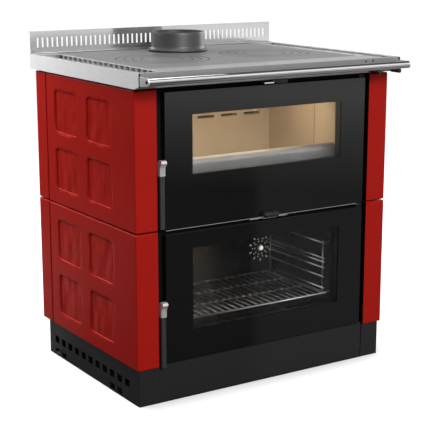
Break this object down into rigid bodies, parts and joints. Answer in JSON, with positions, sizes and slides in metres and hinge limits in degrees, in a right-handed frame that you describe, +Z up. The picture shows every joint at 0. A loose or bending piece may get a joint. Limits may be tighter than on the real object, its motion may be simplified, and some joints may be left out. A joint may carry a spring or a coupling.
{
  "type": "wood-fired cookstove",
  "caption": "Free-standing wood-fired range cooker with a glazed firebox above a glazed oven, cast hob with lift-out rings, flue collar, front rail and log drawer.",
  "frame": {"origin": "on the floor, under the middle of the overall box", "axes": "+X to the stove's right seen from the front, -Y to the front, +Z up"},
  "size_m": [0.812, 0.672, 0.922],
  "materials": {
    "red_enamel": "glossy vitreous enamel",
    "black_paint": "matt black paint",
    "stainless": "brushed stainless sheet",
    "chrome": "polished chrome",
    "cast_iron": "ground and oiled cast iron",
    "dark_iron": "stove-blacked cast iron",
    "zinc_sheet": "zinc-coated sheet",
    "fire_brick": "pressed mineral board, coarse matt",
    "oven_enamel": "speckled oven enamel",
    "black_glass": "ceramic glass, black printed border",
    "clear_glass": "clear heat-resistant glass",
    "black_grip": "moulded heat-proof plastic",
    "grey_grip": "satin dark grey moulding",
    "rope": "woven glass-fibre rope",
    "wire": "bright plated wire"
  },
  "bodies": {
    "stove_body": {"plinth": "black_paint", "drawer_runners": "zinc_sheet", "base_plate": "zinc_sheet", "side_walls": "zinc_sheet", "front_frame": "black_paint", "back_panel": "zinc_sheet", "panel_left_lower": "red_enamel", "panel_left_upper": "red_enamel", "panel_right_lower": "red_enamel", "panel_right_upper": "red_enamel", "rear_strips": "red_enamel", "hob_frame": "stainless", "hob_plate": "cast_iron", "flue_collar": "dark_iron", "backsplash": "stainless", "rail_tube": "chrome", "rail_brackets": "stainless", "firebox_shell": "zinc_sheet", "fire_bed": "dark_iron", "fire_grate": "dark_iron", "ash_pan": "zinc_sheet", "lining_right": "fire_brick", "lining_left": "fire_brick", "lining_back": "fire_brick", "ember_guard": "dark_iron", "oven_box": "oven_enamel", "oven_back_cover": "oven_enamel", "oven_lamp": "clear_glass", "oven_racks": "wire", "oven_shelf": "wire", "hinge_brackets": "black_paint", "baffle_plate": "dark_iron"},
    "firebox_door": {"firebox_door_glass": "black_glass", "firebox_door_frame": "black_paint", "firebox_door_seal": "rope", "firebox_door_trim": "stainless"},
    "firebox_handle": {"firebox_handle_head": "chrome", "firebox_handle_grip": "grey_grip"},
    "oven_door": {"oven_door_glass": "black_glass", "oven_door_frame": "black_paint", "oven_door_inner_glass": "clear_glass", "oven_door_seal": "rope"},
    "oven_handle": {"oven_handle_head": "chrome", "oven_handle_grip": "grey_grip"},
    "primary_air": {"primary_air_slide": "zinc_sheet", "primary_air_grip": "black_grip"},
    "secondary_air": {"secondary_air_slide": "chrome", "secondary_air_grip": "black_grip"},
    "damper": {"damper_rod": "chrome", "damper_knob": "black_grip"},
    "warm_air": {"warm_air_rod": "chrome", "warm_air_knob": "black_grip"},
    "log_drawer": {"drawer_tray": "black_paint", "drawer_front": "black_paint"},
    "ring_outer_left": {"hob_ring_outer_left": "cast_iron"},
    "ring_inner_left": {"hob_ring_inner_left": "cast_iron"},
    "lid_left": {"hob_lid_left": "cast_iron"},
    "ring_outer_right": {"hob_ring_outer_right": "cast_iron"},
    "ring_inner_right": {"hob_ring_inner_right": "cast_iron"},
    "lid_right": {"hob_lid_right": "cast_iron"}
  },
  "joints": [
    {"name": "firebox_door_hinge", "type": "hinge", "parent": "stove_body", "child": "firebox_door", "pos_m": [0.308, -0.244, 0.632], "axis": [0, 0, 1], "range_deg": [0, 105]},
    {"name": "firebox_handle_turn", "type": "hinge", "parent": "firebox_door", "child": "firebox_handle", "pos_m": [-0.32575, -0.243, 0.622], "axis": [-1, 0, 0], "range_deg": [0, 40]},
    {"name": "oven_door_hinge", "type": "hinge", "parent": "stove_body", "child": "oven_door", "pos_m": [0.308, -0.244, 0.2775], "axis": [0, 0, 1], "range_deg": [0, 105]},
    {"name": "oven_handle_turn", "type": "hinge", "parent": "oven_door", "child": "oven_handle", "pos_m": [-0.32575, -0.243, 0.257], "axis": [-1, 0, 0], "range_deg": [0, 40]},
    {"name": "primary_air_slide_x", "type": "slide", "parent": "firebox_door", "child": "primary_air", "axis": [1, 0, 0], "range_m": [0, 0.04]},
    {"name": "secondary_air_slide_x", "type": "slide", "parent": "stove_body", "child": "secondary_air", "axis": [1, 0, 0], "range_m": [0, 0.04]},
    {"name": "damper_pull", "type": "slide", "parent": "stove_body", "child": "damper", "axis": [0, -1, 0], "range_m": [0, 0.045]},
    {"name": "warm_air_pull", "type": "slide", "parent": "stove_body", "child": "warm_air", "axis": [0, -1, 0], "range_m": [0, 0.045]},
    {"name": "log_drawer_pull", "type": "slide", "parent": "stove_body", "child": "log_drawer", "axis": [0, -1, 0], "range_m": [0, 0.35]},
    {"name": "ring_outer_left_lift", "type": "slide", "parent": "stove_body", "child": "ring_outer_left", "axis": [0, 0, 1], "range_m": [0, 0.05]},
    {"name": "ring_inner_left_lift", "type": "slide", "parent": "ring_outer_left", "child": "ring_inner_left", "axis": [0, 0, 1], "range_m": [0, 0.05]},
    {"name": "lid_left_lift", "type": "slide", "parent": "ring_inner_left", "child": "lid_left", "axis": [0, 0, 1], "range_m": [0, 0.05]},
    {"name": "ring_outer_right_lift", "type": "slide", "parent": "stove_body", "child": "ring_outer_right", "axis": [0, 0, 1], "range_m": [0, 0.05]},
    {"name": "ring_inner_right_lift", "type": "slide", "parent": "ring_outer_right", "child": "ring_inner_right", "axis": [0, 0, 1], "range_m": [0, 0.05]},
    {"name": "lid_right_lift", "type": "slide", "parent": "ring_inner_right", "child": "lid_right", "axis": [0, 0, 1], "range_m": [0, 0.05]}
  ]
}
